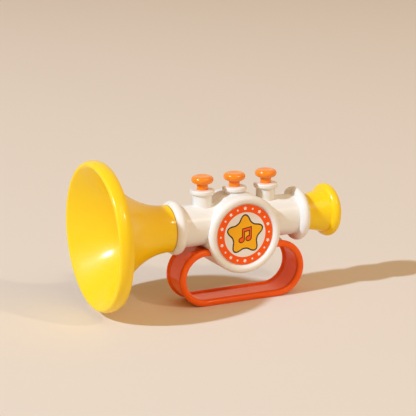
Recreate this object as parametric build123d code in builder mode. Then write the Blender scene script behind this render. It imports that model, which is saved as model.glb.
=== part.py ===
"""Toy horn with a flared bell, three sprung valve buttons and a loop handle."""

import os
from math import atan2, degrees

from build123d import *

os.makedirs("parts", exist_ok=True)

# Lengths are in millimetres. X runs along the horn with the bell at -X, the round drum
# faces -Y, Z is up, and the handle's flats stand on z = 0.

# Clearances
snug_gap = 0.15
running_gap = 0.08
seat_gap = 0.2
overrun = 1.0

# Handle loop
bead_radius = 2.15
bead_spread = 9.6
foot_flat = 0.15
handle_rise = 32.1
handle_reach = 41.05
band_thickness = 2.0
bead_low = bead_radius - foot_flat
bead_top = bead_low + handle_rise
handle_end_radius = handle_rise / 2
handle_centre = bead_low + handle_end_radius
handle_straight = handle_reach - handle_end_radius
handle_edge = bead_spread + bead_radius

# Horn
tube_radius = 12.9
handle_clearance = 0.6
bell_length = 49.75
body_length = 91.5
mouthpiece_length = 22.8
axis_height = bead_top + bead_radius + handle_clearance + tube_radius
bell_nose_x = -(bell_length + body_length + mouthpiece_length) / 2
body_front_x = bell_nose_x + bell_length
body_rear_x = body_front_x + body_length
mouthpiece_end_x = body_rear_x + mouthpiece_length
horn_axis = Axis((0, 0, axis_height), (1, 0, 0))

# Body tube and its collars
tube_wall = 2.0
tube_bore = tube_radius - tube_wall
collar_cove = 0.8
front_collar_width = 6.9
front_collar_radius = 16.8
front_collar_face_radius = 14.7
rear_collar_width = 5.7
rear_collar_radius = 17.1
rear_collar_face_radius = 14.9
groove_inset = 2.2
groove_width = 2.0
groove_depth = 2.5
groove_radius = tube_bore + groove_depth

# Valves
valve_inset = 23.3
valve_pitch = 22.0
valve_count = 3
valve_places = [body_front_x + valve_inset + index * valve_pitch for index in range(valve_count)]
middle_valve_x = body_front_x + valve_inset + valve_pitch
tower_rise = 22.15
tower_top = axis_height + tower_rise
tower_radius = 6.05
tower_wall = 1.6
tower_flange_radius = 7.6
tower_flange_height = 2.8
tower_flange_rounding = 0.9
tower_flange_cove = 0.5
tower_cap = 2.2
well_floor_rise = 8.25
well_floor_top = axis_height + well_floor_rise
well_floor_thickness = 2.0
well_bore = tower_radius - tower_wall

# Buttons
knob_rim_radius = 2.42
knob_radius = 6.87
knob_dimple = 0.5
stem_radius = 3.44
stem_show = 3.77
stop_thickness = 2.0
pin_radius = 1.6
pin_length = 12.6
stop_radius = well_bore - seat_gap
stop_top = tower_top - tower_cap
stop_bottom = stop_top - stop_thickness
knob_height = tower_top + stem_show + knob_rim_radius
knob_rim_centre = knob_radius - knob_rim_radius

# Springs
spring_wire_radius = 0.35
spring_radius = 3.1
spring_turns = 4
spring_wire_sides = 6

# Drum
drum_offset = 0.6
drum_drop = 5.97
drum_height = axis_height - drum_drop
drum_radius = 24.6
drum_wall = 2.0
drum_front = 13.1
drum_back = 13.4
drum_plate = 2.0
drum_rim_bead = 2.6
drum_back_rounding = 1.5
drum_x = middle_valve_x + drum_offset
drum_axis = Axis((drum_x, 0, drum_height), (0, 1, 0))
label_recess_radius = drum_radius - 2 * drum_rim_bead
label_thickness = 0.7

# Handle's seat in the shells
handle_offset = 1.2
handle_gap = 0.25
key_width = 6.0
key_depth = 1.9
handle_x = middle_valve_x + handle_offset

# Lap joint along the shells' seam
lap_width = 0.9
lap_height = 0.8

# Screws
screw_radius = 1.05
screw_length = 16.0
screw_point = 1.6
screw_head_radius = 2.3
screw_head_height = 1.5
screw_head_rounding = 0.5
screw_recess_width = 0.6
screw_recess_length = 2.6
screw_recess_depth = 0.7
boss_radius = 3.1
pilot_depth = 7.5
counterbore_radius = 2.8
counterbore_depth = 3.4
screw_shares = [(-0.48, 0.476), (0.48, 0.476), (-0.386, -0.663), (0.386, -0.663)]
screw_places = [
    (drum_x + x_share * drum_radius, drum_height + z_share * drum_radius)
    for x_share, z_share in screw_shares
]

# Bell
bell_wall = 1.6
bell_radius = 45.87
bell_lip_half_length = 4.45
bell_lip_half_thickness = 2.5
bell_lip_nose_radius = 1.9
bell_lip_skirt_angle = 58
bell_lip_wall = 1.5
bell_lip_depth = 3.4
bell_lip_channel = 1.9
bell_mouth_angle = 48
bell_neck_radius = 14.6
bell_throat_length = 3.5
bell_flare_shares = [(0.19, 0.02), (0.45, 0.186), (0.707, 0.505), (0.841, 0.721)]
bell_inner_shares = [0.84, 0.66, 0.48, 0.28]
spigot_bore = 8.9

# Mouthpiece
mouth_neck_radius = 10.8
mouth_spigot_radius = 10.35
mouth_lip_radius = 16.95
mouth_lip_width = 6.8
mouth_lip_front_radius = 14.0
mouth_lip_rear_radius = 14.2
mouth_neck_middle_radius = 11.9
cup_radius = 12.4
cup_depth = 6.8
cup_bow = 1.6
blow_hole_radius = 3.6
septum_thickness = 2.0
reed_bore = 8.5

# Reed unit
holder_length = 8.0
shallot_radius = 3.8
shallot_length = 22.0
shallot_wall = 1.2
shallot_flat = 1.0
shallot_tip = 2.0
tongue_thickness = 0.4
tongue_width = 5.6
tongue_length = 19.0
tongue_inset = 1.0


def on_axis(x, radius):
    """Point of the half section through the horn's axis."""
    return (x, axis_height + radius)


# Bell: flare running into a rolled lip, with a spigot and flange held in the front collar
lip_x = bell_nose_x + bell_lip_half_length
lip_radius = bell_radius - bell_lip_half_thickness
bell_flange_front_x = body_front_x + groove_inset + snug_gap
bell_flange_rear_x = body_front_x + groove_inset + groove_width - snug_gap
flange_radius = groove_radius - seat_gap
bell_spigot_radius = tube_bore - snug_gap
nose_run = bell_lip_half_length - bell_lip_nose_radius
flank_radius = (nose_run**2 + bell_lip_half_thickness**2 - bell_lip_nose_radius**2) / (
    2 * (bell_lip_half_thickness - bell_lip_nose_radius)
)
flank_offset = flank_radius - bell_lip_half_thickness
shoulder_angle = degrees(atan2(flank_offset, nose_run))
flare_root_x = bell_nose_x + bell_lip_depth
flare_root_radius = lip_radius - bell_lip_channel


def flare_point(x_share, radius_share):
    """Point of the flare's outer face, from shares of its length and rise."""
    return on_axis(
        body_front_x + x_share * (flare_root_x - body_front_x),
        bell_neck_radius + radius_share * (flare_root_radius - bell_neck_radius),
    )


with BuildPart() as bell:
    with BuildSketch(Plane.XZ) as bell_section:
        with BuildLine() as bell_outline:
            flare = Spline(
                flare_point(0, 0),
                *[flare_point(x_share, r_share) for x_share, r_share in bell_flare_shares],
                flare_point(1, 1),
            )
            lip_outside = CenterArc(
                on_axis(lip_x, lip_radius - flank_offset),
                flank_radius,
                bell_lip_skirt_angle,
                180 - shoulder_angle - bell_lip_skirt_angle,
            )
            nose = CenterArc(
                on_axis(bell_nose_x + bell_lip_nose_radius, lip_radius),
                bell_lip_nose_radius,
                180 - shoulder_angle,
                90 + shoulder_angle - bell_mouth_angle,
            )
            skirt_edge = Line(lip_outside @ 0, lip_outside @ 0 - Vector(0, bell_lip_wall))
            Polyline(skirt_edge @ 1, on_axis(flare_root_x, lip_radius), flare_point(1, 1))
            inner_points = [
                flare @ share + Vector(-(flare % share).Y, (flare % share).X) * bell_wall
                for share in bell_inner_shares
            ]
            throat_start = on_axis(body_front_x - bell_throat_length, bell_neck_radius - bell_wall)
            inner_flare = Spline(nose @ 1, *inner_points, throat_start, tangents=[nose % 1, (1, 0)])
            Polyline(
                inner_flare @ 1,
                on_axis(body_front_x, spigot_bore),
                on_axis(bell_flange_rear_x, spigot_bore),
                on_axis(bell_flange_rear_x, flange_radius),
                on_axis(bell_flange_front_x, flange_radius),
                on_axis(bell_flange_front_x, bell_spigot_radius),
                on_axis(body_front_x, bell_spigot_radius),
                flare @ 0,
            )
        make_face()
    revolve(axis=horn_axis)
bell.part.label = "bell"
export_step(bell.part, "parts/bell.step")

# Mouthpiece: flared neck, wide rounded lip around a cup, and a bore that holds the reed
mouth_flange_rear_x = body_rear_x - groove_inset - snug_gap
mouth_flange_front_x = body_rear_x - groove_inset - groove_width + snug_gap
mouth_lip_front_x = mouthpiece_end_x - mouth_lip_width
cup_floor_x = mouthpiece_end_x - cup_depth
reed_stop_x = cup_floor_x - septum_thickness

with BuildPart() as mouthpiece:
    with BuildSketch(Plane.XZ) as mouthpiece_section:
        with BuildLine() as mouthpiece_outline:
            neck = ThreePointArc(
                on_axis(body_rear_x, mouth_neck_radius),
                on_axis((body_rear_x + mouth_lip_front_x) / 2, mouth_neck_middle_radius),
                on_axis(mouth_lip_front_x, mouth_lip_front_radius),
            )
            mouth_lip = ThreePointArc(
                neck @ 1,
                on_axis(mouthpiece_end_x - mouth_lip_width / 2, mouth_lip_radius),
                on_axis(mouthpiece_end_x, mouth_lip_rear_radius),
            )
            cup_edge = TangentArc(
                mouth_lip @ 1,
                on_axis(mouthpiece_end_x - (mouth_lip_rear_radius - cup_radius) / 2, cup_radius),
                tangent=mouth_lip % 1,
            )
            cup_start = cup_edge @ 1
            cup_end = Vector(*on_axis(cup_floor_x, blow_hole_radius))
            ThreePointArc(
                cup_start,
                (cup_start + cup_end) / 2 - Vector(cup_bow, -cup_bow),
                cup_end,
            )
            Polyline(
                cup_end,
                on_axis(reed_stop_x, blow_hole_radius),
                on_axis(reed_stop_x, reed_bore),
                on_axis(mouth_flange_front_x, reed_bore),
                on_axis(mouth_flange_front_x, flange_radius),
                on_axis(mouth_flange_rear_x, flange_radius),
                on_axis(mouth_flange_rear_x, mouth_spigot_radius),
                on_axis(body_rear_x, mouth_spigot_radius),
                neck @ 0,
            )
        make_face()
    revolve(axis=horn_axis)
mouthpiece.part.label = "mouthpiece"
export_step(mouthpiece.part, "parts/mouthpiece.step")

# White body: tube with two bead collars, round drum and three valve towers, still in one piece
rear_bore = mouth_spigot_radius + snug_gap
front_bead_rear_x = body_front_x + front_collar_width
rear_bead_front_x = body_rear_x - rear_collar_width


def slot_section(x):
    """Opening that clears the handle's top run, at one place along the horn."""
    with BuildSketch(Plane.YZ.offset(x)) as opening:
        with Locations((0, bead_top)):
            RectangleRounded(
                2 * (handle_edge + handle_gap),
                2 * (bead_radius + handle_gap),
                bead_radius,
            )
    return opening.sketch


with BuildPart() as body_form:
    with BuildSketch(Plane.XZ) as tube_section:
        with BuildLine() as tube_outline:
            front_bead = ThreePointArc(
                on_axis(body_front_x, front_collar_face_radius),
                on_axis(body_front_x + front_collar_width / 2, front_collar_radius),
                on_axis(front_bead_rear_x, tube_radius),
            )
            rear_bead = ThreePointArc(
                on_axis(rear_bead_front_x, tube_radius),
                on_axis(body_rear_x - rear_collar_width / 2, rear_collar_radius),
                on_axis(body_rear_x, rear_collar_face_radius),
            )
            Line(front_bead @ 1, rear_bead @ 0)
            Polyline(
                rear_bead @ 1,
                on_axis(body_rear_x, 0),
                on_axis(body_front_x, 0),
                front_bead @ 0,
            )
        make_face()
        for bead_end in (front_bead @ 1, rear_bead @ 0):
            fillet(tube_section.vertices().sort_by_distance(bead_end)[0], radius=collar_cove)
    revolve(axis=horn_axis)

    drum_section_plane = Plane(origin=(drum_x, 0, drum_height), x_dir=(1, 0, 0), z_dir=(0, 0, 1))
    with BuildSketch(drum_section_plane) as drum_section:
        with BuildLine() as drum_outline:
            rim = ThreePointArc(
                (label_recess_radius, -drum_front),
                (drum_radius - drum_rim_bead, -drum_front - drum_rim_bead),
                (drum_radius, -drum_front),
            )
            Polyline(rim @ 1, (drum_radius, drum_back), (0, drum_back), (0, -drum_front), rim @ 0)
        make_face()
        back_edge = drum_section.vertices().sort_by_distance((drum_radius, drum_back))[0]
        fillet(back_edge, radius=drum_back_rounding)
    revolve(axis=drum_axis)

    with BuildSketch(Plane.XZ.offset(drum_front)) as label_seat:
        with Locations((drum_x, drum_height)):
            Circle(label_recess_radius)
    extrude(amount=drum_rim_bead, mode=Mode.SUBTRACT)

    with BuildSketch(Plane.XZ) as bore_section:
        with BuildLine():
            Polyline(
                on_axis(body_front_x - overrun, 0),
                on_axis(body_front_x - overrun, tube_bore),
                on_axis(body_front_x + groove_inset, tube_bore),
                on_axis(body_front_x + groove_inset, groove_radius),
                on_axis(body_front_x + groove_inset + groove_width, groove_radius),
                on_axis(body_front_x + groove_inset + groove_width, tube_bore),
                on_axis(body_rear_x - groove_inset - groove_width, tube_bore),
                on_axis(body_rear_x - groove_inset - groove_width, groove_radius),
                on_axis(body_rear_x - groove_inset, groove_radius),
                on_axis(body_rear_x - groove_inset, rear_bore),
                on_axis(body_rear_x + overrun, rear_bore),
                on_axis(body_rear_x + overrun, 0),
                close=True,
            )
        make_face()
    revolve(axis=horn_axis, mode=Mode.SUBTRACT)

    with BuildSketch(Plane.XZ.offset(drum_front - drum_plate)) as drum_hollow:
        with Locations((drum_x, drum_height)):
            Circle(drum_radius - drum_wall)
    extrude(amount=drum_plate * 2 - drum_front - drum_back, mode=Mode.SUBTRACT)

    for place in valve_places:
        valve_axis = Axis((place, 0, 0), (0, 0, 1))
        flange_foot = tower_top - tower_flange_height
        with BuildSketch(Plane.XZ) as tower_section:
            with BuildLine():
                Polyline(
                    (place, well_floor_top - well_floor_thickness),
                    (place + tower_radius, well_floor_top - well_floor_thickness),
                    (place + tower_radius, flange_foot),
                    (place + tower_flange_radius, flange_foot),
                    (place + tower_flange_radius, tower_top),
                    (place, tower_top),
                    close=True,
                )
            make_face()
            flange_edge = tower_section.vertices().group_by(Axis.X)[-1]
            fillet(flange_edge, radius=tower_flange_rounding)
            inner_corner = tower_section.vertices().sort_by_distance((place + tower_radius, flange_foot))
            fillet(inner_corner[0], radius=tower_flange_cove)
        revolve(axis=valve_axis)

    for place in valve_places:
        with BuildSketch(Plane.XY.offset(tower_top + overrun)) as stem_bore:
            with Locations((place, 0)):
                Circle(stem_radius + running_gap)
        extrude(amount=stop_bottom - tower_top - overrun, mode=Mode.SUBTRACT)
        with BuildSketch(Plane.XY.offset(well_floor_top)) as well:
            with Locations((place, 0)):
                Circle(well_bore)
        extrude(amount=stop_top - well_floor_top, mode=Mode.SUBTRACT)
        with BuildSketch(Plane.XY.offset(well_floor_top + overrun)) as pin_hole:
            with Locations((place, 0)):
                Circle(pin_radius + running_gap)
        extrude(amount=-well_floor_thickness - 2 * overrun, mode=Mode.SUBTRACT)

    extrude(slot_section(handle_x), amount=handle_straight, both=True, mode=Mode.SUBTRACT)
    for side in (-1, 1):
        slot_end_x = handle_x + side * handle_straight
        revolve(
            slot_section(slot_end_x),
            axis=Axis((slot_end_x, 0, handle_centre), (0, side, 0)),
            revolution_arc=90,
            mode=Mode.SUBTRACT,
        )

    for side in (-1, 1):
        key_inner = side * (handle_edge - key_depth + handle_gap)
        with BuildSketch(Plane.XZ.offset(-key_inner)) as key:
            with Locations((handle_x, bead_top)):
                Rectangle(key_width, 2 * (bead_radius + 2 * handle_gap))
        extrude(amount=-side * (drum_front - drum_plate / 2 - handle_edge + key_depth))

lap_runs = [
    (front_bead_rear_x, valve_places[0] - tower_radius, 1),
    (valve_places[-1] + tower_radius, rear_bead_front_x, 1),
    (front_bead_rear_x, drum_x - drum_radius, -1),
    (drum_x + drum_radius, rear_bead_front_x, -1),
]


def lap_section(inner, outer, trim):
    """Strips on the seam, inner to outer deep in the tube's walls and the drum's lower wall."""
    with BuildSketch(Plane.XZ) as strips:
        with Locations((drum_x, drum_height)):
            Circle(drum_radius - drum_wall + outer)
            Circle(drum_radius - drum_wall + inner, mode=Mode.SUBTRACT)
        with Locations((drum_x, bead_top - bead_radius - 2 * handle_gap - trim)):
            Rectangle(
                2 * drum_radius,
                2 * drum_radius,
                align=(Align.CENTER, Align.MIN),
                mode=Mode.SUBTRACT,
            )
        for start, end, side in lap_runs:
            middle = tube_bore + (inner + outer) / 2
            with Locations(((start + end) / 2, axis_height + side * middle)):
                Rectangle(end - start - 2 * trim, outer - inner)
    return strips.sketch


# Front shell: the half towards the label, with four blind bosses and the lap joint's ribs
with BuildPart() as front_shell:
    add(body_form.part)
    split(bisect_by=Plane.XZ, keep=Keep.TOP)
    with BuildSketch(Plane.XZ) as front_bosses:
        with Locations(*screw_places):
            Circle(boss_radius)
    extrude(amount=drum_front - drum_plate / 2)
    with BuildSketch(Plane.XZ) as pilot_holes:
        with Locations(*screw_places):
            Circle(screw_radius + running_gap)
    extrude(amount=pilot_depth, mode=Mode.SUBTRACT)
    extrude(lap_section(snug_gap, lap_width, 2 * snug_gap), amount=-lap_height)
front_shell.part.label = "front_shell"
export_step(front_shell.part, "parts/front_shell.step")

# Back shell: the other half, with recesses for the ribs and bosses counterbored for the screws
with BuildPart() as back_shell:
    add(body_form.part)
    split(bisect_by=Plane.XZ, keep=Keep.BOTTOM)
    with BuildSketch(Plane.XZ) as back_bosses:
        with Locations(*screw_places):
            Circle(boss_radius)
    extrude(amount=-(drum_back - drum_plate / 2))
    for x, z in screw_places:
        with Locations(Plane(origin=(x, drum_back, z), x_dir=(-1, 0, 0), z_dir=(0, 1, 0))):
            CounterBoreHole(
                screw_radius + snug_gap,
                counterbore_radius,
                counterbore_depth,
                depth=drum_back + overrun,
            )
    extrude(
        lap_section(-overrun, lap_width + snug_gap, snug_gap),
        amount=-lap_height - snug_gap,
        mode=Mode.SUBTRACT,
    )
back_shell.part.label = "back_shell"
export_step(back_shell.part, "parts/back_shell.step")

# Label disc in the drum's recess
with BuildPart() as label_disc:
    with BuildSketch(Plane.XZ.offset(drum_front)) as label_face:
        with Locations((drum_x, drum_height)):
            Circle(label_recess_radius - seat_gap)
    extrude(amount=label_thickness)
label_disc.part.label = "label_disc"
export_step(label_disc.part, "parts/label_disc.step")

# Handle: closed loop, a band with a round bead along each edge, notched for the shells' keys
with BuildPart() as handle_loop:
    for height in (bead_low, bead_top):
        with BuildSketch(Plane.YZ.offset(handle_x)) as run_section:
            with Locations((0, height)):
                Rectangle(2 * bead_spread, band_thickness)
            with Locations((-bead_spread, height), (bead_spread, height)):
                Circle(bead_radius)
        extrude(amount=handle_straight, both=True)
    for side in (-1, 1):
        end_x = handle_x + side * handle_straight
        with BuildSketch(Plane.YZ.offset(end_x)) as end_section:
            with Locations((0, bead_low)):
                Rectangle(2 * bead_spread, band_thickness)
            with Locations((-bead_spread, bead_low), (bead_spread, bead_low)):
                Circle(bead_radius)
        revolve(axis=Axis((end_x, 0, handle_centre), (0, -side, 0)), revolution_arc=180)
    split(bisect_by=Plane.XY, keep=Keep.TOP)
    for side in (-1, 1):
        with BuildSketch(Plane.XZ.offset(side * (handle_edge - key_depth))) as notch:
            with Locations((handle_x, bead_top)):
                Rectangle(key_width + 2 * handle_gap, 2 * (bead_radius + handle_gap))
        extrude(amount=side * (key_depth + overrun), mode=Mode.SUBTRACT)
handle_loop.part.label = "handle_loop"
export_step(handle_loop.part, "parts/handle_loop.step")

# Valve buttons: knob, stem, stop collar and guide pin in one moulding
stop_rest_top = stop_top - running_gap
stop_rest_bottom = stop_rest_top - stop_thickness
dish_radius = (
    knob_rim_centre**2 + (knob_rim_radius - knob_dimple) ** 2 - knob_rim_radius**2
) / (2 * knob_dimple)
dish_share = knob_rim_radius / (dish_radius + knob_rim_radius)
dish_edge_radius = knob_rim_centre * (1 - dish_share)
dish_edge_rise = dish_share * (dish_radius + knob_rim_radius - knob_dimple)
rim_drop = (knob_rim_radius**2 - (knob_rim_centre - stem_radius) ** 2) ** 0.5
for index, place in enumerate(valve_places, start=1):
    with BuildPart() as button:
        with BuildSketch(Plane.XZ) as button_section:
            with BuildLine():
                knob_rim = ThreePointArc(
                    (place + stem_radius, knob_height - rim_drop),
                    (place + knob_radius, knob_height),
                    (place + dish_edge_radius, knob_height + dish_edge_rise),
                )
                dimple = TangentArc(
                    knob_rim @ 1,
                    (place, knob_height + knob_rim_radius - knob_dimple),
                    tangent=knob_rim % 1,
                )
                Polyline(
                    dimple @ 1,
                    (place, stop_rest_bottom - pin_length),
                    (place + pin_radius, stop_rest_bottom - pin_length),
                    (place + pin_radius, stop_rest_bottom),
                    (place + stop_radius, stop_rest_bottom),
                    (place + stop_radius, stop_rest_top),
                    (place + stem_radius, stop_rest_top),
                    knob_rim @ 0,
                )
            make_face()
        revolve(axis=Axis((place, 0, 0), (0, 0, 1)))
    button.part.label = f"valve_button_{index}"
    export_step(button.part, f"parts/valve_button_{index}.step")

# Valve springs: open coils with ground ends, between the well's floor and the stop collar
spring_length = stop_rest_bottom - well_floor_top
for index, place in enumerate(valve_places, start=1):
    with BuildPart() as spring:
        with BuildLine() as coil:
            wire_line = Helix(
                spring_length / spring_turns,
                spring_length,
                spring_radius,
                center=(place, 0, well_floor_top),
            )
        with BuildSketch(Plane(origin=wire_line @ 0, z_dir=wire_line % 0)) as wire_section:
            RegularPolygon(spring_wire_radius, spring_wire_sides)
        sweep(path=wire_line)
        with BuildSketch(Plane.XY.offset(well_floor_top)) as ground_span:
            with Locations((place, 0)):
                Circle(well_bore)
        extrude(amount=spring_length, mode=Mode.INTERSECT)
    spring.part.label = f"valve_spring_{index}"
    export_step(spring.part, f"parts/valve_spring_{index}.step")

# Reed holder: plug in the mouthpiece's bore with a D-shaped hole that grips reed and tongue
holder_front_x = reed_stop_x - holder_length
with BuildPart() as reed_holder:
    with BuildSketch(Plane.YZ.offset(holder_front_x)) as holder_section:
        with Locations((0, axis_height)):
            Circle(reed_bore - running_gap)
            Circle(shallot_radius + running_gap, mode=Mode.SUBTRACT)
        cover = shallot_flat + tongue_thickness + running_gap
        with Locations((0, axis_height + cover)):
            Rectangle(
                2 * shallot_radius + overrun,
                shallot_radius,
                align=(Align.CENTER, Align.MIN),
            )
    extrude(amount=holder_length)
reed_holder.part.label = "reed_holder"
export_step(reed_holder.part, "parts/reed_holder.step")

# Reed shallot: half-round trough with a closed tip and a flat top
shallot_rear_x = reed_stop_x - snug_gap
shallot_front_x = shallot_rear_x - shallot_length
with BuildPart() as reed_shallot:
    with BuildSketch(Plane.YZ.offset(shallot_front_x)) as shallot_section:
        with Locations((0, axis_height)):
            Circle(shallot_radius)
        with Locations((0, axis_height + shallot_flat)):
            Rectangle(
                2 * shallot_radius,
                shallot_radius,
                align=(Align.CENTER, Align.MIN),
                mode=Mode.SUBTRACT,
            )
    extrude(amount=shallot_length)
    with BuildSketch(Plane.YZ.offset(shallot_front_x + shallot_tip)) as channel:
        with Locations((0, axis_height)):
            Circle(shallot_radius - shallot_wall)
    extrude(amount=shallot_length, mode=Mode.SUBTRACT)
reed_shallot.part.label = "reed_shallot"
export_step(reed_shallot.part, "parts/reed_shallot.step")

# Reed tongue: thin strip on the shallot's flat, held at its rear in the holder
with BuildPart() as reed_tongue:
    with BuildSketch(Plane.XY.offset(axis_height + shallot_flat)) as tongue_outline:
        with Locations((shallot_front_x + tongue_inset, 0)):
            Rectangle(tongue_length, tongue_width, align=(Align.MIN, Align.CENTER))
    extrude(amount=tongue_thickness)
reed_tongue.part.label = "reed_tongue"
export_step(reed_tongue.part, "parts/reed_tongue.step")

# Screws: pan heads in the counterbores, plain shanks where the threads run
head_seat = drum_back - counterbore_depth
with BuildPart() as shell_screws:
    for x, z in screw_places:
        screw_plane = Plane(origin=(x, 0, z), x_dir=(1, 0, 0), z_dir=(0, 0, 1))
        with BuildSketch(screw_plane) as screw_section:
            with BuildLine():
                Polyline(
                    (0, head_seat + screw_head_height),
                    (screw_head_radius, head_seat + screw_head_height),
                    (screw_head_radius, head_seat),
                    (screw_radius, head_seat),
                    (screw_radius, head_seat - screw_length + screw_point),
                    (0, head_seat - screw_length),
                    close=True,
                )
            make_face()
            head_rim = (screw_head_radius, head_seat + screw_head_height)
            fillet(screw_section.vertices().sort_by_distance(head_rim)[0], radius=screw_head_rounding)
        revolve(axis=Axis((x, 0, z), (0, 1, 0)))
    with BuildSketch(Plane.XZ.offset(-head_seat - screw_head_height)) as recesses:
        with Locations(*screw_places):
            Rectangle(screw_recess_length, screw_recess_width)
            Rectangle(screw_recess_width, screw_recess_length)
    extrude(amount=screw_recess_depth, mode=Mode.SUBTRACT)
shell_screws.part.label = "shell_screws"
export_step(shell_screws.part, "parts/shell_screws.step")
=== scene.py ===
import math

import bmesh
import bpy
from bpy.props import FloatProperty, FloatVectorProperty, IntProperty, PointerProperty
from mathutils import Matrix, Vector


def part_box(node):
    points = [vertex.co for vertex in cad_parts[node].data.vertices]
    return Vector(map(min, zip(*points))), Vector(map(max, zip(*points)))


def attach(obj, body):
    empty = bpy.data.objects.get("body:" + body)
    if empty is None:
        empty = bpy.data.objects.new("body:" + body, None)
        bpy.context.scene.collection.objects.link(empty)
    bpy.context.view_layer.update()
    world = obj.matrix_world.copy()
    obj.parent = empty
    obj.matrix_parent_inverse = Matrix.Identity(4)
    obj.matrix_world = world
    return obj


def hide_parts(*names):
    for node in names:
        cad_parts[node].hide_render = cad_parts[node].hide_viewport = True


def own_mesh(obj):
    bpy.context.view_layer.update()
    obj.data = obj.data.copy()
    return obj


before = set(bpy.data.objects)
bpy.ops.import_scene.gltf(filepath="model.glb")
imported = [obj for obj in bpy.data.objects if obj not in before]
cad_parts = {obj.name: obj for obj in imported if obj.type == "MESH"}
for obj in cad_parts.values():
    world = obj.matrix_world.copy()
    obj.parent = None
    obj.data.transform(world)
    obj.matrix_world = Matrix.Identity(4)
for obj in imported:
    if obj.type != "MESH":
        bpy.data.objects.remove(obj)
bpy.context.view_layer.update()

bl_info = {
    "name": "Toy horn",
    "version": (1, 0, 0),
    "blender": (4, 5, 0),
    "location": "3D View > Sidebar > Toy horn",
    "description": "Finishes, printed label, springs and studio stage around a toy horn's CAD model",
    "category": "Object",
}

MM = 0.001
FIXED_BODY = "body"
VALVES = (1, 2, 3)


def linear(hex_code):
    """Turn an sRGB hex colour such as FFC800 into Blender's linear red, green and blue."""
    channels = [int(hex_code[i : i + 2], 16) / 255 for i in (0, 2, 4)]
    return [c / 12.92 if c <= 0.04045 else ((c + 0.055) / 1.055) ** 2.4 for c in channels]


def colour_property(name, description, hex_code):
    """Property for one colour of the horn or its stage."""
    return FloatVectorProperty(
        name=name,
        description=description,
        subtype="COLOR",
        size=3,
        min=0,
        max=1,
        default=linear(hex_code),
    )


def length_property(name, description, millimetres):
    """Property for one length, given in millimetres and kept in metres."""
    return FloatProperty(
        name=name,
        description=description,
        subtype="DISTANCE",
        unit="LENGTH",
        min=0,
        precision=5,
        default=millimetres * MM,
    )


def angle_property(name, description, angle):
    """Property for one angle, given in degrees and kept in radians."""
    return FloatProperty(
        name=name, description=description, subtype="ANGLE", default=math.radians(angle)
    )


def power_property(name, description, watts):
    """Property for the power of one lamp."""
    return FloatProperty(name=name, description=description, unit="POWER", min=0, default=watts)


class ToyHornColours(bpy.types.PropertyGroup):
    """Colours of the horn's plastics, inks and metals, of the shade painted beside its collars, in its
    parting line and along its grip's near bead, and of its stage.
    """

    yellow: colour_property("Yellow", "Bell and mouthpiece", "FFD900")
    yellow_deep: colour_property("Deep yellow", "Patches where the yellow runs thicker", "FFD000")
    # Painted shade: a darker line for the shade where a yellow moulding enters a collar
    painted_joint_shade: colour_property("Joint", "Shade where a yellow moulding enters a collar", "B86A0C")
    white: colour_property("White", "Body shells", "F1F0EA")
    white_deep: colour_property("Deep white", "Patches where the white runs thicker", "EDEBE2")
    # Painted shade: the parting line's darker colour stands in for the shade in its groove
    seam: colour_property("Seam", "Shade in the shells' parting line", "9C8C78")
    knob: colour_property("Knob orange", "Valve buttons", "FF9008")
    knob_deep: colour_property("Deep knob orange", "Patches on the valve buttons", "FA8A08")
    grip: colour_property("Grip orange", "Loop handle", "FF6C04")
    grip_deep: colour_property("Deep grip orange", "Patches on the loop handle", "F85E02")
    # Painted shade: a darker colour along the grip's near bead stands in for the shade that falls there
    painted_crease_shade: colour_property("Crease", "Shade where the grip's band meets its near bead", "B02A00")
    film: colour_property("Label film", "Pale disc of the label", "F2EFEA")
    ring_ink: colour_property("Ring ink", "Orange ring of the label", "FF5F00")
    amber_ink: colour_property("Amber ink", "Star of the label", "FDBA14")
    dark_ink: colour_property("Dark ink", "Outlines on the label", "2E1F19")
    white_ink: colour_property("White ink", "Small marks on the label's ring", "FCF9F4")
    reed: colour_property("Reed plastic", "Reed holder and shallot", "E7E3D8")
    steel: colour_property("Steel", "Springs and screws", "C2C3C6")
    brass: colour_property("Brass", "Reed tongue", "D9B45C")
    floor: colour_property("Floor", "Plain pale floor", "E8DFD0")
    key_light: colour_property("Key light", "Light of the key lamp", "CBE5FF")
    soft_light: colour_property("Soft light", "Light of the fill and front lamps", "FFEDD4")
    room: colour_property("Room", "Light that the room sends from all round", "FFCA92")
    backdrop: colour_property("Backdrop", "Pale backdrop that the camera and reflections see", "EADBC2")


class ToyHornFinish(bpy.types.PropertyGroup):
    """Sizes of the marks that moulding, printing, drawing and use leave on the surfaces, and of the
    shade painted beside the collars, in the parting line and along the grip's near bead.
    """

    # Real draw marks, ink tooth and marks on metal are finer than a render shows, so these three
    # are drawn as coarse as they need to be to show in a close view
    draw_mark: length_property("Draw mark", "Distance between the grip's draw marks", 0.7)
    ink_tooth: length_property("Ink tooth", "Distance between the specks of a printed ink", 0.25)
    metal_mark: length_property("Metal mark", "Distance between the fine marks on a metal", 0.08)

    draw_depth: length_property("Draw mark depth", "Depth of the draw marks", 0.03)
    pigment_patch: length_property("Pigment patch", "Width of a patch of deeper colour", 24)
    ripple: length_property("Ripple", "Distance between the waves of the moulded skin", 5.5)
    ripple_height: length_property("Ripple height", "Height of those waves", 0.02)
    smudge: length_property("Smudge", "Width of a smudge left by fingers", 13)
    scuff: length_property("Scuff", "Distance between fine scuffs", 1.4)
    # Painted shade: width of the darker line painted beside each collar
    joint_shade: length_property("Joint shade", "Width of the shade beside a collar", 1.0)
    # The parting line is cut in by bump and painted darker as shade in its groove
    seam_width: length_property("Seam width", "Half width of the shells' parting line", 0.12)
    seam_depth: length_property("Seam depth", "Depth of that line", 0.1)
    # Painted shade: half width of the darker shade painted beside the grip's near bead
    crease_shade: length_property(
        "Crease shade", "Half width of the shade beside the grip's near bead", 2.4
    )


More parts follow.
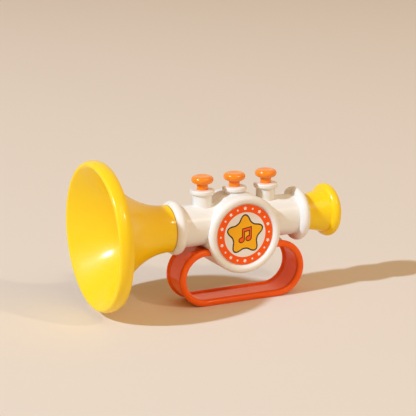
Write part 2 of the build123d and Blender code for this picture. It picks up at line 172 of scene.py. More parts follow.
class ToyHornLabel(bpy.types.PropertyGroup):
    """Sizes of the printed label in the drum."""

    ring_width: length_property("Ring width", "Width of the orange ring", 5.0)
    ink_thickness: length_property("Ink thickness", "Thickness of one printed layer", 0.04)
    edge_rounding: length_property("Edge rounding", "Rounding of the film's front edge", 0.12)
    mark_count: IntProperty(name="Marks", description="Small marks round the ring", min=2, default=20)
    dot_radius: length_property("Ring dot", "Radius of the ring's dots", 0.6)
    ring_star_radius: length_property("Ring star", "Mean radius of the ring's small stars", 0.95)
    star_radius: length_property("Star radius", "Mean radius of the middle star", 9.8)
    star_outline_width: length_property("Star outline", "Width of the star's dark outline", 0.85)
    note_height: length_property("Note height", "Height of the pair of notes on the star", 8.6)
    note_outline_width: length_property("Note outline", "Width of the notes' dark outline", 0.595)


class ToyHornSpring(bpy.types.PropertyGroup):
    """Sizes of the springs under the valve buttons."""

    wire_radius: length_property("Wire radius", "Half of the wire's thickness", 0.35)
    coil_radius: length_property("Coil radius", "Radius of the wire's centre line", 3.1)
    turns: IntProperty(name="Turns", description="Turns of each spring", min=1, default=4)


class ToyHornStage(bpy.types.PropertyGroup):
    """The camera, lamps and floor of the studio."""

    target: FloatVectorProperty(
        name="Target",
        description="Point that the camera looks at",
        subtype="TRANSLATION",
        unit="LENGTH",
        default=(-0.005085, 0.0, 0.059668),
    )
    distance: length_property("Camera distance", "From the camera to its target", 899.9)
    azimuth: angle_property("Camera azimuth", "Camera's turn round the horn", -25.98)
    elevation: angle_property("Camera elevation", "Camera's angle above the floor", 13.87)
    lens: FloatProperty(
        name="Lens", description="Focal length in millimetres", unit="CAMERA", min=1, default=126.26
    )
    floor_size: length_property("Floor size", "Side of the floor", 12000)
    lamp_distance: length_property("Lamp distance", "From each lamp to the horn", 6000)
    key_azimuth: angle_property("Key azimuth", "Key lamp's turn round the horn", -82.1)
    key_elevation: angle_property("Key elevation", "Key lamp's angle above the floor", 38.5)
    key_size: length_property("Key size", "Width of the key lamp", 280)
    key_power: power_property("Key power", "Power of the key lamp", 342)
    fill_azimuth: angle_property("Fill azimuth", "Fill lamp's turn round the horn", 30)
    fill_elevation: angle_property("Fill elevation", "Fill lamp's angle above the floor", 38)
    fill_size: length_property("Fill size", "Width of the fill lamp", 320)
    fill_power: power_property("Fill power", "Power of the fill lamp", 55)
    front_azimuth: angle_property("Front azimuth", "Front lamp's turn round the horn", 5)
    front_elevation: angle_property("Front elevation", "Front lamp's angle above the floor", 46)
    front_size: length_property("Front size", "Width of the front lamp", 3500)
    front_power: power_property("Front power", "Power of the front lamp", 54)
    room_strength: FloatProperty(
        name="Room light", description="Strength of the light from all round", min=0, default=0.43
    )


def add_node(tree, kind, values=None, links=None, **settings):
    """Add a node with its settings, the values of its sockets and what is linked into them."""
    node = tree.nodes.new(kind)
    for name, value in settings.items():
        setattr(node, name, value)
    for socket, value in (values or {}).items():
        node.inputs[socket].default_value = value
    for socket, source in (links or {}).items():
        tree.links.new(source, node.inputs[socket])
    return node


# Sockets of the mix node for colours, which has an input of each kind under one name
MIX_FACTOR, MIX_FIRST, MIX_SECOND, MIX_RESULT = 0, 6, 7, 2


def opaque(colour):
    """A colour with its alpha."""
    return (*colour, 1)


def new_material(name):
    """Material with an empty node tree."""
    material = bpy.data.materials.new(name)
    material.use_nodes = True
    material.node_tree.nodes.clear()
    return material


def patterned_material(name):
    """Empty material, its node tree, and the place on its piece, in metres, that patterns follow."""
    material = new_material(name)
    tree = material.node_tree
    return material, tree, add_node(tree, "ShaderNodeTexCoord").outputs["Object"]


def close_material(material, values, links):
    """Give a material its shader, with its constants on the shader's own sockets."""
    tree = material.node_tree
    shader = add_node(tree, "ShaderNodeBsdfPrincipled", values, links)
    add_node(tree, "ShaderNodeOutputMaterial", links={"Surface": shader.outputs["BSDF"]})
    return material


# Values between which nearly all of a noise lies
NOISE_LOW, NOISE_HIGH = 0.3, 0.7
# Noise values between which a smudge builds up
SMUDGE_START, SMUDGE_FULL = 0.42, 0.68
# A scuff's width as a share of the distance between scuffs, and the roughness that it adds
SCUFF_WIDTH, SCUFF_DULLNESS = 0.04, 0.05


def moulded_skin(tree, place, colour, deep, clean, smudged):
    """Links for the colour, roughness and relief of a polished moulding.

    clean is the roughness of the bare skin, and smudged that of its finger marks.
    """
    finish = bpy.context.scene.toy_horn_finish
    pigment = add_node(
        tree,
        "ShaderNodeTexNoise",
        {"Scale": 1 / finish.pigment_patch, "Detail": 2, "Roughness": 0.5},
        {"Vector": place},
    )
    pigment_mix = add_node(
        tree,
        "ShaderNodeMix",
        {MIX_FIRST: opaque(colour), MIX_SECOND: opaque(deep)},
        {MIX_FACTOR: pigment.outputs["Fac"]},
        data_type="RGBA",
    )
    smudges = add_node(
        tree,
        "ShaderNodeTexNoise",
        {"Scale": 1 / finish.smudge, "Detail": 5, "Roughness": 0.62, "Distortion": 0.6},
        {"Vector": place},
    )
    scuffs = add_node(
        tree,
        "ShaderNodeTexVoronoi",
        {"Scale": 1 / finish.scuff, "Randomness": 1},
        {"Vector": place},
        feature="DISTANCE_TO_EDGE",
    )
    scuff_lines = add_node(
        tree,
        "ShaderNodeMapRange",
        {"From Min": 0.0, "From Max": SCUFF_WIDTH, "To Min": SCUFF_DULLNESS, "To Max": 0.0},
        {"Value": scuffs.outputs["Distance"]},
    )
    handled = add_node(
        tree,
        "ShaderNodeMapRange",
        {
            "From Min": SMUDGE_START,
            "From Max": SMUDGE_FULL,
            "To Min": clean,
            "To Max": smudged,
        },
        {"Value": smudges.outputs["Fac"]},
        interpolation_type="SMOOTHSTEP",
    )
    roughness = add_node(
        tree,
        "ShaderNodeMath",
        links={0: handled.outputs["Result"], 1: scuff_lines.outputs["Result"]},
        operation="ADD",
    )
    ripple = add_node(
        tree,
        "ShaderNodeTexNoise",
        {"Scale": 1 / finish.ripple, "Detail": 1, "Roughness": 0.4},
        {"Vector": place},
    )
    relief = add_node(
        tree,
        "ShaderNodeBump",
        {"Strength": 1.0, "Distance": finish.ripple_height},
        {"Height": ripple.outputs["Fac"]},
    )
    return {
        "Base Color": pigment_mix.outputs[MIX_RESULT],
        "Roughness": roughness.outputs["Value"],
        "Normal": relief.outputs["Normal"],
    }


# Polished ABS: a sharp reflection from its skin over a soft one from just below. The subsurface
# radii, how far each colour of light gets into the wall, are in millimetres.
ABS = {
    "IOR": 1.54,
    "Specular IOR Level": 0.15,
    "Coat Weight": 0.3,
    "Coat Roughness": 0.08,
    "Coat IOR": 1.5,
    "Subsurface Scale": MM,
}


def yellow_abs():
    """Gloss ABS, injection moulded: deep even yellow that glows where light gets into the wall.

    A thin line of shade is painted where the bell and the mouthpiece enter the body's collars.
    """
    colours = bpy.context.scene.toy_horn_colours
    finish = bpy.context.scene.toy_horn_finish
    material, tree, place = patterned_material("yellow gloss ABS")
    skin = moulded_skin(tree, place, colours.yellow, colours.yellow_deep, clean=0.42, smudged=0.52)
    # Painted shade: the yellow is painted darker next to the collars' faces, for the shade where it
    # enters them
    low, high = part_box("front_shell")
    half_length = (high - low).x / 2
    split = add_node(tree, "ShaderNodeSeparateXYZ", links={"Vector": place})
    off_middle = add_node(
        tree, "ShaderNodeMath", {1: (low + high).x / 2}, {0: split.outputs["X"]}, operation="SUBTRACT"
    )
    from_middle = add_node(
        tree, "ShaderNodeMath", links={0: off_middle.outputs["Value"]}, operation="ABSOLUTE"
    )
    shade = add_node(
        tree,
        "ShaderNodeMapRange",
        {
            "From Min": half_length,
            "From Max": half_length + finish.joint_shade,
            "To Min": 1.0,
            "To Max": 0.0,
        },
        {"Value": from_middle.outputs["Value"]},
    )
    shaded = add_node(
        tree,
        "ShaderNodeMix",
        {MIX_SECOND: opaque(colours.painted_joint_shade)},
        {MIX_FACTOR: shade.outputs["Result"], MIX_FIRST: skin["Base Color"]},
        data_type="RGBA",
    )
    skin["Base Color"] = shaded.outputs[MIX_RESULT]
    lustre = {
        "Specular IOR Level": 0.2,
        "Coat Weight": 0.5,
        "Coat Roughness": 0.15,
        "Subsurface Weight": 0.25,
        "Subsurface Radius": (3.0, 1.4, 0.1),
    }
    return close_material(material, {**ABS, **lustre}, skin)


# Share of the parting line's half width that lies in full painted shade
SEAM_CORE = 1 / 3


def white_abs():
    """Gloss ABS, warm white: soft milky shade.

    The shells' parting line is drawn where they meet, and painted darker as shade in its groove.
    """
    colours = bpy.context.scene.toy_horn_colours
    finish = bpy.context.scene.toy_horn_finish
    material, tree, place = patterned_material("white gloss ABS")
    skin = moulded_skin(tree, place, colours.white, colours.white_deep, clean=0.3, smudged=0.4)
    # Painted shade: the parting line is painted darker as shade in its groove, as well as cut in by
    # bump
    split = add_node(tree, "ShaderNodeSeparateXYZ", links={"Vector": place})
    off_seam = add_node(tree, "ShaderNodeMath", links={0: split.outputs["Y"]}, operation="ABSOLUTE")
    seam = add_node(
        tree,
        "ShaderNodeMapRange",
        {
            "From Min": SEAM_CORE * finish.seam_width,
            "From Max": finish.seam_width,
            "To Min": 1.0,
            "To Max": 0.0,
        },
        {"Value": off_seam.outputs["Value"]},
        interpolation_type="SMOOTHSTEP",
    )
    shaded = add_node(
        tree,
        "ShaderNodeMix",
        {MIX_SECOND: opaque(colours.seam)},
        {MIX_FACTOR: seam.outputs["Result"], MIX_FIRST: skin["Base Color"]},
        data_type="RGBA",
    )
    groove = add_node(
        tree,
        "ShaderNodeBump",
        {"Strength": 0.6, "Distance": finish.seam_depth},
        {"Height": seam.outputs["Result"], "Normal": skin["Normal"]},
        invert=True,
    )
    skin["Base Color"] = shaded.outputs[MIX_RESULT]
    skin["Normal"] = groove.outputs["Normal"]
    lustre = {
        "Coat Weight": 0.2,
        "Coat Roughness": 0.24,
        "Subsurface Weight": 0.2,
        "Subsurface Radius": (1.2, 1.0, 0.8),
    }
    return close_material(material, {**ABS, **lustre}, skin)


def knob_abs():
    """Gloss ABS, light orange: bright round highlights on the small knobs."""
    colours = bpy.context.scene.toy_horn_colours
    material, tree, place = patterned_material("light orange gloss ABS")
    skin = moulded_skin(tree, place, colours.knob, colours.knob_deep, clean=0.28, smudged=0.36)
    lustre = {
        "Specular IOR Level": 0.08,
        "Coat Weight": 0.85,
        "Coat Roughness": 0.15,
        "Subsurface Weight": 0.06,
        "Subsurface Radius": (1.2, 0.4, 0.1),
    }
    return close_material(material, {**ABS, **lustre}, skin)


# Shares of half the grip's width: where the band's draw marks start to fade and where they end,
# and where band and bead meet, the middle of the painted shade there
MARKS_FADE, MARKS_END, CREASE = 0.62, 0.72, 0.73
# Width of a draw mark as a share of its length round the loop
MARK_SLIMNESS = 0.06
# Least and most roughness that the draw marks add
MARK_DULLNESS = (0.06, 0.2)
# Full painted shade at the bead, the painted shade from which the skin has no gloss, and the gloss away
# from it
CREASE_DEPTH, CREASE_MATT, GRIP_COAT = 0.8, 0.6, 0.65


def grip_abs():
    """Gloss ABS, deep orange: shiny edge beads and a duller band with faint draw marks.

    A deeper, duller shade is painted on the near side only, where the band meets the near bead.
    """
    colours = bpy.context.scene.toy_horn_colours
    finish = bpy.context.scene.toy_horn_finish
    material, tree, place = patterned_material("deep orange gloss ABS")
    skin = moulded_skin(tree, place, colours.grip, colours.grip_deep, clean=0.28, smudged=0.38)
    across = add_node(tree, "ShaderNodeSeparateXYZ", links={"Vector": place})
    off_middle = add_node(tree, "ShaderNodeMath", links={0: across.outputs["Y"]}, operation="ABSOLUTE")
    low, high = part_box("handle_loop")
    half_width = (high - low).y / 2
    on_band = add_node(
        tree,
        "ShaderNodeMapRange",
        {
            "From Min": MARKS_FADE * half_width,
            "From Max": MARKS_END * half_width,
            "To Min": 1.0,
            "To Max": 0.0,
        },
        {"Value": off_middle.outputs["Value"]},
        interpolation_type="SMOOTHSTEP",
    )
    stretched = add_node(
        tree, "ShaderNodeMapping", {"Scale": (MARK_SLIMNESS, 1, MARK_SLIMNESS)}, {"Vector": place}
    )
    marks = add_node(
        tree,
        "ShaderNodeTexNoise",
        {"Scale": 1 / finish.draw_mark, "Detail": 3, "Roughness": 0.5},
        {"Vector": stretched.outputs["Vector"]},
    )
    band_gloss = add_node(
        tree,
        "ShaderNodeMapRange",
        {
            "From Min": NOISE_LOW,
            "From Max": NOISE_HIGH,
            "To Min": MARK_DULLNESS[0],
            "To Max": MARK_DULLNESS[1],
        },
        {"Value": marks.outputs["Fac"]},
    )
    added = add_node(
        tree,
        "ShaderNodeMath",
        links={0: band_gloss.outputs["Result"], 1: on_band.outputs["Result"], 2: skin["Roughness"]},
        operation="MULTIPLY_ADD",
    )
    mark_height = add_node(
        tree,
        "ShaderNodeMath",
        links={0: marks.outputs["Fac"], 1: on_band.outputs["Result"]},
        operation="MULTIPLY",
    )
    drawn = add_node(
        tree,
        "ShaderNodeBump",
        {"Strength": 1.0, "Distance": finish.draw_depth},
        {"Height": mark_height.outputs["Value"], "Normal": skin["Normal"]},
    )
    skin["Roughness"] = added.outputs["Value"]
    skin["Normal"] = drawn.outputs["Normal"]
    # Painted shade: on the near side only, where band and bead meet, the colour is painted darker and
    # the coat fades there
    off_crease = add_node(
        tree, "ShaderNodeMath", {1: CREASE * half_width}, {0: across.outputs["Y"]}, operation="ADD"
    )
    from_crease = add_node(
        tree, "ShaderNodeMath", links={0: off_crease.outputs["Value"]}, operation="ABSOLUTE"
    )
    shade = add_node(
        tree,
        "ShaderNodeMapRange",
        {"From Min": 0.0, "From Max": finish.crease_shade, "To Min": CREASE_DEPTH, "To Max": 0.0},
        {"Value": from_crease.outputs["Value"]},
        interpolation_type="SMOOTHSTEP",
    )
    shaded = add_node(
        tree,
        "ShaderNodeMix",
        {MIX_SECOND: opaque(colours.painted_crease_shade)},
        {MIX_FACTOR: shade.outputs["Result"], MIX_FIRST: skin["Base Color"]},
        data_type="RGBA",
    )
    skin["Base Color"] = shaded.outputs[MIX_RESULT]
    coat = add_node(
        tree,
        "ShaderNodeMapRange",
        {"From Min": 0.0, "From Max": CREASE_MATT, "To Min": GRIP_COAT, "To Max": 0.0},
        {"Value": shade.outputs["Result"]},
    )
    skin["Coat Weight"] = coat.outputs["Result"]
    lustre = {
        "Specular IOR Level": 0.03,
        "Coat IOR": 1.4,
        "Subsurface Weight": 0.15,
        "Subsurface Radius": (1.6, 0.4, 0.1),
    }
    return close_material(material, {**ABS, **lustre}, skin)


def reed_abs():
    """Satin ABS: the plain, slightly dull plastic of an inner part."""
    colours = bpy.context.scene.toy_horn_colours
    material, tree, place = patterned_material("satin ABS")
    skin = moulded_skin(tree, place, colours.reed, colours.white_deep, clean=0.34, smudged=0.42)
    return close_material(material, {**ABS, "Coat Weight": 0.0}, skin)


# Noise values between which an ink's tooth lies, and how it changes the ink's strength and roughness
TOOTH_LOW, TOOTH_HIGH = 0.25, 0.75
INK_STRENGTH, INK_ROUGHNESS = (0.96, 1.03), (0.36, 0.46)


def printed_ink(name, colour):
    """Screen ink on a vinyl film: flat colour with a faint tooth and a satin sheen."""
    finish = bpy.context.scene.toy_horn_finish
    material, tree, place = patterned_material(name)
    tooth = add_node(
        tree,
        "ShaderNodeTexNoise",
        {"Scale": 1 / finish.ink_tooth, "Detail": 2, "Roughness": 0.6},
        {"Vector": place},
    )
    strength = add_node(
        tree,
        "ShaderNodeMapRange",
        {
            "From Min": TOOTH_LOW,
            "From Max": TOOTH_HIGH,
            "To Min": INK_STRENGTH[0],
            "To Max": INK_STRENGTH[1],
        },
        {"Value": tooth.outputs["Fac"]},
    )
    toothed = add_node(
        tree,
        "ShaderNodeHueSaturation",
        {"Color": opaque(colour)},
        {"Value": strength.outputs["Result"]},
    )
    roughness = add_node(
        tree,
        "ShaderNodeMapRange",
        {
            "From Min": NOISE_LOW,
            "From Max": NOISE_HIGH,
            "To Min": INK_ROUGHNESS[0],
            "To Max": INK_ROUGHNESS[1],
        },
        {"Value": tooth.outputs["Fac"]},
    )
    links = {"Base Color": toothed.outputs["Color"], "Roughness": roughness.outputs["Result"]}
    return close_material(material, {"IOR": 1.5, "Specular IOR Level": 0.25}, links)


# Shares of a metal's roughness between and on its fine marks
METAL_DULLNESS = (0.8, 1.25)


def drawn_metal(name, colour, roughness):
    """Drawn, rolled or plated metal: bright, with fine marks that spread its highlights."""
    finish = bpy.context.scene.toy_horn_finish
    material, tree, place = patterned_material(name)
    marks = add_node(
        tree,
        "ShaderNodeTexNoise",
        {"Scale": 1 / finish.metal_mark, "Detail": 2, "Roughness": 0.5},
        {"Vector": place},
    )
    spread = add_node(
        tree,
        "ShaderNodeMapRange",
        {
            "From Min": NOISE_LOW,
            "From Max": NOISE_HIGH,
            "To Min": roughness * METAL_DULLNESS[0],
            "To Max": roughness * METAL_DULLNESS[1],
        },
        {"Value": marks.outputs["Fac"]},
    )
    values = {"Base Color": opaque(colour), "Metallic": 1.0}
    return close_material(material, values, {"Roughness": spread.outputs["Result"]})


def dress(node, material):
    """Give a CAD node its material."""
    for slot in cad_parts[node].material_slots:
        slot.material = material


def add_piece(name, verts, faces, material, smooth=False):
    """Make a closed mesh piece that rides on the horn's fixed body."""
    mesh = bpy.data.meshes.new(name)
    mesh.from_pydata(verts, [], faces)
    shape = bmesh.new()
    shape.from_mesh(mesh)
    bmesh.ops.recalc_face_normals(shape, faces=shape.faces)
    shape.to_mesh(mesh)
    shape.free()
    mesh.materials.append(material)
    for face in mesh.polygons:
        face.use_smooth = smooth
    piece = bpy.data.objects.new(name, mesh)
    bpy.context.scene.collection.objects.link(piece)
    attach(piece, FIXED_BODY)
    return piece


def radial_outline(centre, radius_at, count):
    """Closed outline whose radius is a function of the angle from straight up."""
    points = []
    for step in range(count):
        angle = 2 * math.pi * step / count
        radius = radius_at(angle)
        x, z = radius * math.sin(angle), radius * math.cos(angle)
        points.append(Vector((centre[0] + x, centre[1] + z)))
    return points


def round_outline(centre, radius, count):
    """Circle as an outline."""
    return radial_outline(centre, lambda angle: radius, count)


def star_outline(centre, radius, count, turn=0.0):
    """Soft five-pointed star round a mean radius.

    reach and sharpness say how far its arms stand out and how pointed they are.
    """
    arms, reach, sharpness = 5, 0.2, 0.04

    def radius_at(angle):
        phase = arms * (angle - turn)
        return radius * (1 + reach * math.cos(phase) + sharpness * math.cos(2 * phase))

    return radial_outline(centre, radius_at, count)


def note_pair_outline(height):
    """Two notes joined by a beam, as one outline that runs clockwise."""
    head_long, head_short, head_tilt = 0.19 * height, 0.145 * height, math.radians(22)
    stem_width, half_spread, head_drop = 0.085 * height, 0.28 * height, 0.33 * height
    beam_depth, beam_level, slope = 0.17 * height, 0.44 * height, 0.15
    head_steps = 28
    reach = math.hypot(head_long * math.cos(head_tilt), head_short * math.sin(head_tilt))
    start = -math.atan2(head_short * math.sin(head_tilt), head_long * math.cos(head_tilt))

    def head(centre):
        points = []
        for step in range(head_steps):
            angle = start - 2 * math.pi * step / head_steps
            along, across = head_long * math.cos(angle), head_short * math.sin(angle)
            x = along * math.cos(head_tilt) - across * math.sin(head_tilt)
            z = along * math.sin(head_tilt) + across * math.cos(head_tilt)
            if step > head_steps / 2 and x > reach - stem_width:
                break
            points.append(Vector((centre[0] + x, centre[1] + z)))
        return points

    def beam_top(x):
        return beam_level + slope * x

    left_x, right_x = -half_spread, half_spread
    left = head((left_x, slope * left_x - head_drop))
    right = head((right_x, slope * right_x - head_drop))
    outer, inner = reach, reach - stem_width
    return [
        Vector((left_x + inner, beam_top(left_x + inner))),
        Vector((right_x + outer, beam_top(right_x + outer))),
        *right,
        Vector((right_x + inner, beam_top(right_x + inner) - beam_depth)),
        Vector((left_x + outer, beam_top(left_x + outer) - beam_depth)),
        *left,
    ]


def grown(outline, distance):
    """A clockwise outline moved outwards by one distance, or by up to twice that at a corner."""
    least_spread = 0.5
    points = []
    for index, point in enumerate(outline):
        before = (point - outline[index - 1]).normalized()
        after = (outline[(index + 1) % len(outline)] - point).normalized()
        along = before + after
        outward = Vector((-along.y, along.x)).normalized()
        spread = max(outward.dot(Vector((-before.y, before.x))), least_spread)
        points.append(point + outward * distance / spread)
    return points


def add_layer(name, shapes, level, material):
    """Lay one ink on the label. Each shape is an outline, or a pair of an outline and its hole."""
    label = bpy.context.scene.toy_horn_label
    low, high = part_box("label_disc")
    centre = (low + high) / 2
    underside = low.y - level * label.ink_thickness
    depths = (underside - label.ink_thickness, underside)
    verts, faces = [], []
    for shape in shapes:
        rings = shape if isinstance(shape, tuple) else (shape,)
        count = len(rings[0])
        first = len(verts)
        for ring in rings:
            for y in depths:
                verts += [(centre.x + p.x, y, centre.z + p.y) for p in ring]
        neighbours = [(i, (i + 1) % count) for i in range(count)]
        for ring_index in range(len(rings)):
            front = first + ring_index * 2 * count
            back = front + count
            faces += [(front + i, front + j, back + j, back + i) for i, j in neighbours]
        for depth_index in range(len(depths)):
            outer = first + depth_index * count
            if len(rings) == 1:
                faces.append(tuple(range(outer, outer + count)))
            else:
                hole = outer + 2 * count
                faces += [(outer + i, outer + j, hole + j, hole + i) for i, j in neighbours]
    return add_piece(name, verts, faces, material)


class TOYHORN_OT_yellow_mouldings(bpy.types.Operator):
    """Finish the bell and the mouthpiece as yellow gloss ABS"""

    bl_idname = "toy_horn.yellow_mouldings"
    bl_label = "Bell and mouthpiece"

    def execute(self, context):
        material = yellow_abs()
        for node in ("bell", "mouthpiece"):
            dress(node, material)
        return {"FINISHED"}


class TOYHORN_OT_body_shells(bpy.types.Operator):
    """Finish the two body shells as white gloss ABS"""

    bl_idname = "toy_horn.body_shells"
    bl_label = "Body shells"

    def execute(self, context):
        material = white_abs()
        for node in ("front_shell", "back_shell"):
            dress(node, material)
        return {"FINISHED"}


class TOYHORN_OT_handle(bpy.types.Operator):
    """Finish the loop handle as deep orange gloss ABS"""

    bl_idname = "toy_horn.handle"
    bl_label = "Handle"

    def execute(self, context):
        dress("handle_loop", grip_abs())
        return {"FINISHED"}


class TOYHORN_OT_buttons(bpy.types.Operator):
    """Finish the valve buttons as light orange gloss ABS"""

    bl_idname = "toy_horn.buttons"
    bl_label = "Valve buttons"

    def execute(self, context):
        material = knob_abs()
        for number in VALVES:
            dress(f"valve_button_{number}", material)
        return {"FINISHED"}


class TOYHORN_OT_springs(bpy.types.Operator):
    """Wind the springs under the buttons from round wire"""

    bl_idname = "toy_horn.springs"
    bl_label = "Valve springs"

    steps_per_turn, wire_sides = 32, 10

    def execute(self, context):
        sizes = context.scene.toy_horn_spring
        colours = context.scene.toy_horn_colours
        material = drawn_metal("drawn spring steel", colours.steel, roughness=0.22)
        for number in VALVES:
            node = f"valve_spring_{number}"
            low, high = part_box(node)
            verts, faces = self.coil(sizes, (low + high) / 2, low.z, high.z)
            name = f"wound_spring_{number}"
            piece = add_piece(name, verts, faces, material, smooth=True)
            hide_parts(node)
            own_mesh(piece)
        return {"FINISHED"}

    def coil(self, sizes, centre, bottom, top):
        """Points and faces of a helix whose ends are ground flat."""
        verts, faces = [], []
        steps = sizes.turns * self.steps_per_turn
        for step in range(steps + 1):
            share = step / steps
            turn = 2 * math.pi * sizes.turns * share
            middle = bottom + share * (top - bottom)
            for side in range(self.wire_sides):
                round_wire = 2 * math.pi * side / self.wire_sides
                radius = sizes.coil_radius + sizes.wire_radius * math.cos(round_wire)
                z = middle + sizes.wire_radius * math.sin(round_wire)
                verts.append(
                    (
                        centre.x + radius * math.cos(turn),
                        centre.y + radius * math.sin(turn),
                        min(max(z, bottom), top),
                    )
                )
        for step in range(steps):
            for side in range(self.wire_sides):
                a = step * self.wire_sides + side
                b = step * self.wire_sides + (side + 1) % self.wire_sides
                faces.append((a, b, b + self.wire_sides, a + self.wire_sides))
        faces.append(tuple(range(self.wire_sides)))
        faces.append(tuple(range(steps * self.wire_sides, (steps + 1) * self.wire_sides)))
        return verts, faces


class TOYHORN_OT_label(bpy.types.Operator):
    """Print the drum's label: a pale film, an orange ring with small marks, and a star with notes"""

    bl_idname = "toy_horn.label"
    bl_label = "Label"

    # Steps round a large and a small outline, and over the film's rounded edge
    fine, coarse, rounding_steps = 160, 24, 4

    def execute(self, context):
        colours = context.scene.toy_horn_colours
        sizes = context.scene.toy_horn_label
        low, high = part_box("label_disc")
        radius = (high - low).x / 2
        inner = radius - sizes.ring_width
        middle = (0.0, 0.0)
        self.add_film(low, high, radius, sizes, printed_ink("vinyl label film", colours.film))

        orange = printed_ink("orange screen ink", colours.ring_ink)
        dark = printed_ink("dark screen ink", colours.dark_ink)
        amber = printed_ink("amber screen ink", colours.amber_ink)
        white = printed_ink("white screen ink", colours.white_ink)
        ring_edge = radius - sizes.edge_rounding
        ring = (round_outline(middle, ring_edge, self.fine), round_outline(middle, inner, self.fine))
        add_layer("label_ring", [ring], 0, orange)

        marks = []
        for index in range(sizes.mark_count):
            angle = 2 * math.pi * index / sizes.mark_count
            place = Vector((math.sin(angle), math.cos(angle))) * (radius + inner) / 2
            if index % 2:
                marks.append(round_outline(place, sizes.dot_radius, self.coarse))
            else:
                marks.append(star_outline(place, sizes.ring_star_radius, 2 * self.coarse, angle))
        add_layer("label_ring_marks", marks, 1, white)

        star = star_outline(middle, sizes.star_radius, self.fine)
        add_layer("label_star_outline", [grown(star, sizes.star_outline_width)], 0, dark)
        add_layer("label_star", [star], 1, amber)
        notes = note_pair_outline(sizes.note_height)
        add_layer("label_notes_outline", [grown(notes, sizes.note_outline_width)], 2, dark)
        add_layer("label_notes", [notes], 3, orange)
        return {"FINISHED"}

    def add_film(self, low, high, radius, sizes, material):
        """The film itself, a disc with a rounded front edge."""
        centre = (low + high) / 2
        profile = [(radius, high.y)]
        for step in range(self.rounding_steps + 1):
            angle = math.pi / 2 * step / self.rounding_steps
            profile.append(
                (
                    radius - sizes.edge_rounding * (1 - math.cos(angle)),
                    low.y + sizes.edge_rounding * (1 - math.sin(angle)),
                )
            )
        verts, faces = [], []
        for r, y in profile:
            for step in range(self.fine):
                angle = 2 * math.pi * step / self.fine
                verts.append((centre.x + r * math.sin(angle), y, centre.z + r * math.cos(angle)))
        for level in range(len(profile) - 1):
            for i in range(self.fine):
                a, b = level * self.fine + i, level * self.fine + (i + 1) % self.fine
                faces.append((a, b, b + self.fine, a + self.fine))
        faces.append(tuple(range(self.fine)))
        faces.append(tuple(range(len(verts) - self.fine, len(verts))))
        piece = add_piece("label_film", verts, faces, material)
        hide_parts("label_disc")


class TOYHORN_OT_inner_parts(bpy.types.Operator):
    """Finish the reed unit and the shells' screws"""

    bl_idname = "toy_horn.inner_parts"
    bl_label = "Reed and screws"

    def execute(self, context):
        colours = context.scene.toy_horn_colours
        plastic = reed_abs()
        dress("reed_holder", plastic)
        dress("reed_shallot", plastic)
        dress("reed_tongue", drawn_metal("rolled brass", colours.brass, roughness=0.28))
        dress("shell_screws", drawn_metal("zinc plated steel", colours.steel, roughness=0.34))
        return {"FINISHED"}


def seen_from(azimuth, elevation):
    """Direction from the horn towards something at these angles."""
    return Vector(
        (
            math.sin(azimuth) * math.cos(elevation),
            -math.cos(azimuth) * math.cos(elevation),
            math.sin(elevation),
        )
    )


def add_aimed(name, data, stage, azimuth, elevation, distance):
    """Stand a lamp or the camera at these angles from the stage's target, turned to the target."""
    towards = seen_from(azimuth, elevation)
    holder = bpy.data.objects.new(name, data)
    holder.location = Vector(stage.target) + towards * distance
    holder.rotation_euler = (-towards).to_track_quat("-Z", "Y").to_euler()
    bpy.context.scene.collection.objects.link(holder)
    return holder


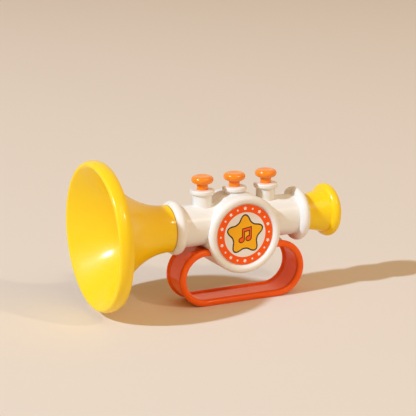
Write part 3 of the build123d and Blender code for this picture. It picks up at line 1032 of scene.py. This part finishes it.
class TOYHORN_OT_stage(bpy.types.Operator):
    """Set up the pale floor, the soft lamps, the room's light and the camera"""

    bl_idname = "toy_horn.stage"
    bl_label = "Stage"

    def execute(self, context):
        scene = context.scene
        stage, colours = scene.toy_horn_stage, scene.toy_horn_colours
        self.add_floor(stage, colours)
        self.add_lamp("key", stage, colours.key_light)
        self.add_lamp("fill", stage, colours.soft_light)
        self.add_lamp("front", stage, colours.soft_light)
        self.add_room(scene, stage, colours)
        self.add_camera(scene, stage)
        scene.view_settings.view_transform = "Standard"
        return {"FINISHED"}

    def add_floor(self, stage, colours):
        """A matt floor at the height that the horn stands on."""
        half = stage.floor_size / 2
        mesh = bpy.data.meshes.new("floor")
        corners = [(-half, -half, 0), (half, -half, 0), (half, half, 0), (-half, half, 0)]
        mesh.from_pydata(corners, [], [(0, 1, 2, 3)])
        material = new_material("matt painted board")
        values = {"Base Color": opaque(colours.floor), "Roughness": 0.8}
        mesh.materials.append(close_material(material, values, {}))
        floor = bpy.data.objects.new("floor", mesh)
        bpy.context.scene.collection.objects.link(floor)

    def add_lamp(self, name, stage, colour):
        """A round lamp, with its place, size and power from the stage's values of its name."""
        lamp = bpy.data.lights.new(f"{name}_lamp", "AREA")
        lamp.shape = "DISK"
        lamp.size = getattr(stage, f"{name}_size")
        lamp.energy = getattr(stage, f"{name}_power")
        lamp.color = colour
        azimuth, elevation = getattr(stage, f"{name}_azimuth"), getattr(stage, f"{name}_elevation")
        add_aimed(f"{name}_lamp", lamp, stage, azimuth, elevation, stage.lamp_distance)

    def add_room(self, scene, stage, colours):
        """Warm light from all round, and a pale backdrop for the camera and for reflections."""
        room = bpy.data.worlds.new("room")
        room.use_nodes = True
        tree = room.node_tree
        tree.nodes.clear()
        glow = {"Color": opaque(colours.room), "Strength": stage.room_strength}
        light = add_node(tree, "ShaderNodeBackground", glow)
        seen = add_node(tree, "ShaderNodeBackground", {"Color": opaque(colours.backdrop)})
        rays = add_node(tree, "ShaderNodeLightPath")
        straight = rays.outputs["Is Camera Ray"]
        for ray in ("Is Glossy Ray", "Is Transmission Ray"):
            straight = add_node(
                tree, "ShaderNodeMath", links={0: straight, 1: rays.outputs[ray]}, operation="MAXIMUM"
            ).outputs["Value"]
        mixed = add_node(
            tree,
            "ShaderNodeMixShader",
            links={0: straight, 1: light.outputs["Background"], 2: seen.outputs["Background"]},
        )
        add_node(tree, "ShaderNodeOutputWorld", links={"Surface": mixed.outputs["Shader"]})
        scene.world = room

    def add_camera(self, scene, stage):
        """The camera, at the photograph's viewing angle."""
        camera = bpy.data.cameras.new("camera")
        camera.lens = stage.lens
        scene.camera = add_aimed(
            "camera", camera, stage, stage.azimuth, stage.elevation, stage.distance
        )


PROPERTY_GROUPS = {
    "toy_horn_colours": ToyHornColours,
    "toy_horn_finish": ToyHornFinish,
    "toy_horn_label": ToyHornLabel,
    "toy_horn_spring": ToyHornSpring,
    "toy_horn_stage": ToyHornStage,
}
OPERATORS = (
    TOYHORN_OT_yellow_mouldings,
    TOYHORN_OT_body_shells,
    TOYHORN_OT_handle,
    TOYHORN_OT_buttons,
    TOYHORN_OT_springs,
    TOYHORN_OT_label,
    TOYHORN_OT_inner_parts,
    TOYHORN_OT_stage,
)


class TOYHORN_PT_panel(bpy.types.Panel):
    """Sizes, colours and steps of the toy horn"""

    bl_idname = "TOYHORN_PT_panel"
    bl_label = "Toy horn"
    bl_space_type = "VIEW_3D"
    bl_region_type = "UI"
    bl_category = "Toy horn"

    def draw(self, context):
        for group_name in PROPERTY_GROUPS:
            group = getattr(context.scene, group_name)
            box = self.layout.box()
            for property_name in group.bl_rna.properties.keys():
                if property_name not in ("rna_type", "name"):
                    box.prop(group, property_name)
        for operator in OPERATORS:
            self.layout.operator(operator.bl_idname)


def register():
    """Register the properties, the operators and the panel."""
    for name, group in PROPERTY_GROUPS.items():
        bpy.utils.register_class(group)
        setattr(bpy.types.Scene, name, PointerProperty(type=group))
    for operator in OPERATORS:
        bpy.utils.register_class(operator)
    bpy.utils.register_class(TOYHORN_PT_panel)


def unregister():
    """Take the panel, the operators and the properties off again."""
    bpy.utils.unregister_class(TOYHORN_PT_panel)
    for operator in reversed(OPERATORS):
        bpy.utils.unregister_class(operator)
    for name, group in PROPERTY_GROUPS.items():
        delattr(bpy.types.Scene, name)
        bpy.utils.unregister_class(group)


def main():
    """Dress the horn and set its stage."""
    register()
    bpy.ops.toy_horn.yellow_mouldings()
    bpy.ops.toy_horn.body_shells()
    bpy.ops.toy_horn.handle()
    bpy.ops.toy_horn.buttons()
    bpy.ops.toy_horn.springs()
    bpy.ops.toy_horn.label()
    bpy.ops.toy_horn.inner_parts()
    bpy.ops.toy_horn.stage()


if __name__ == "__main__":
    main()
